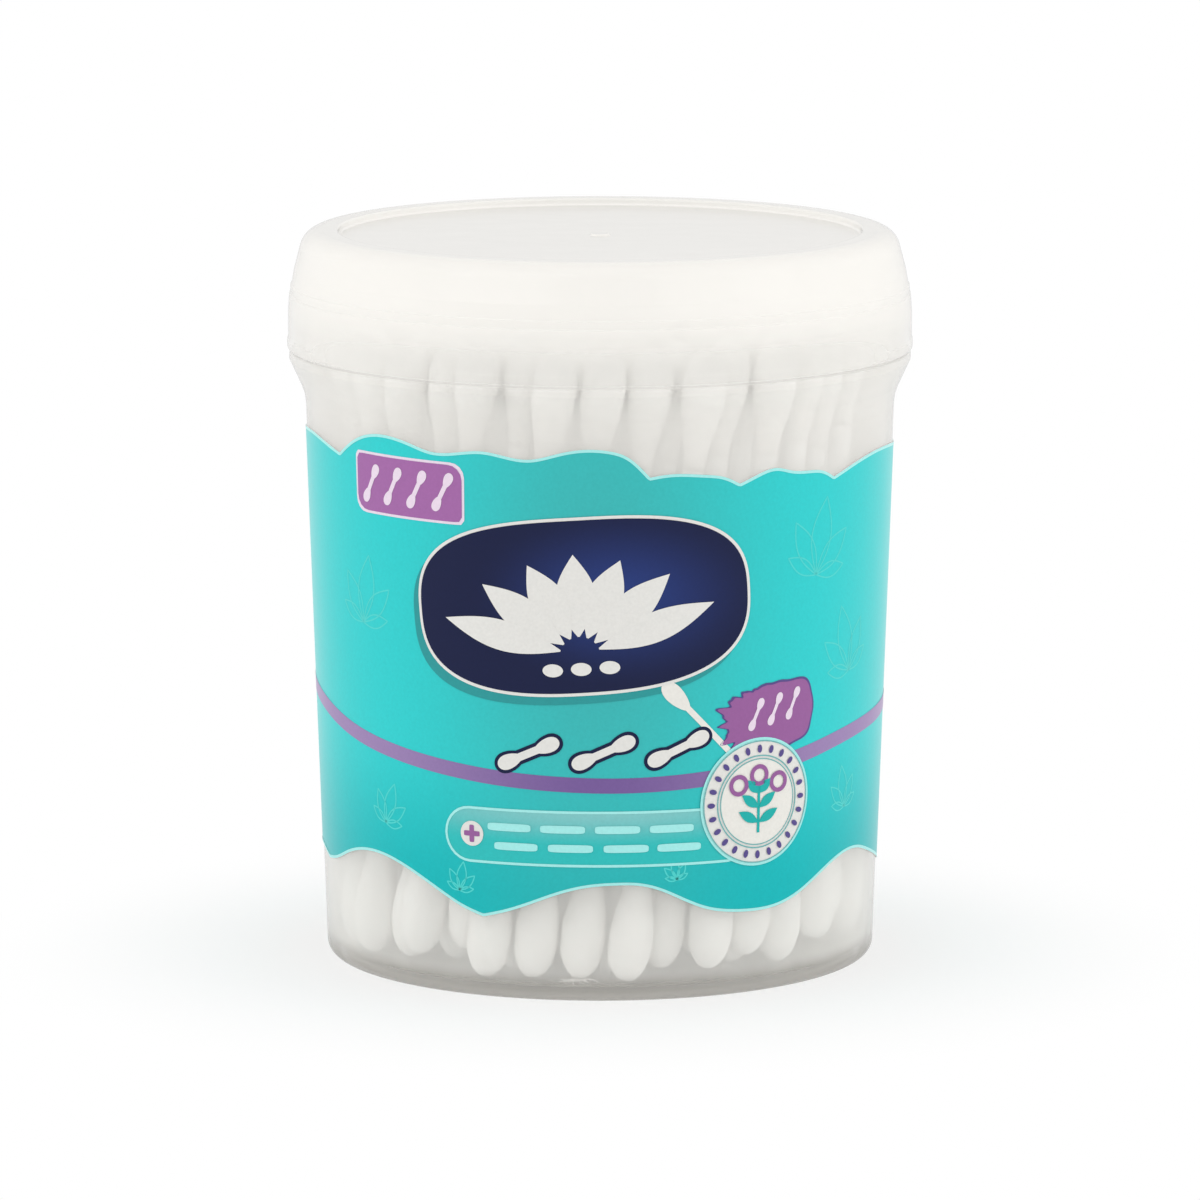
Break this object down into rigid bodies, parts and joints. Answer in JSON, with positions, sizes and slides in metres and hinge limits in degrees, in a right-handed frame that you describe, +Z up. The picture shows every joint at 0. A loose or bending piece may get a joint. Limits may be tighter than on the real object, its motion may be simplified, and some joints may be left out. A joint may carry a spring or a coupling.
{
  "type": "cotton swab tub",
  "caption": "Round translucent tub with a lift-off lid and a wrapped label, filled with upright double-ended cotton swabs.",
  "frame": {"origin": "middle of the foot ring, on the surface that the tub stands on", "axes": "+Z up along the tub's axis, -Y towards the front of the label, +X to the right seen from the front"},
  "size_m": [0.0726, 0.0726, 0.085],
  "materials": {
    "natural_polypropylene": "translucent, moulded",
    "clouded_polypropylene": "cloudy, moulded, soft sheen",
    "printed_film": "printed film, teal",
    "cotton": "wound cotton wool on a white stick"
  },
  "bodies": {
    "tub": {"tub": "natural_polypropylene", "label": "printed_film", "swab_01": "cotton", "swab_02": "cotton", "swab_03": "cotton", "swab_04": "cotton", "swab_05": "cotton", "swab_06": "cotton", "swab_07": "cotton", "swab_08": "cotton", "swab_09": "cotton", "swab_10": "cotton", "swab_11": "cotton", "swab_12": "cotton", "swab_13": "cotton", "swab_14": "cotton", "swab_15": "cotton", "swab_16": "cotton", "swab_17": "cotton", "swab_18": "cotton", "swab_19": "cotton", "swab_20": "cotton", "swab_21": "cotton", "swab_22": "cotton", "swab_23": "cotton", "swab_24": "cotton", "swab_25": "cotton", "swab_26": "cotton", "swab_27": "cotton", "swab_28": "cotton", "swab_29": "cotton", "swab_30": "cotton", "swab_31": "cotton", "swab_32": "cotton", "swab_33": "cotton", "swab_34": "cotton", "swab_35": "cotton", "swab_36": "cotton", "swab_37": "cotton", "swab_38": "cotton", "swab_39": "cotton", "swab_40": "cotton", "swab_41": "cotton", "swab_42": "cotton", "swab_43": "cotton", "swab_44": "cotton", "swab_45": "cotton", "swab_46": "cotton", "swab_47": "cotton", "swab_48": "cotton", "swab_core_1": "cotton", "swab_core_2": "cotton", "swab_core_3": "cotton", "swab_core_4": "cotton", "swab_core_5": "cotton", "swab_core_6": "cotton"},
    "lid": {"lid": "clouded_polypropylene"}
  },
  "joints": [
    {"name": "lid_lift", "type": "slide", "parent": "tub", "child": "lid", "axis": [0, 0, 1], "range_m": [0, 0.03]}
  ]
}
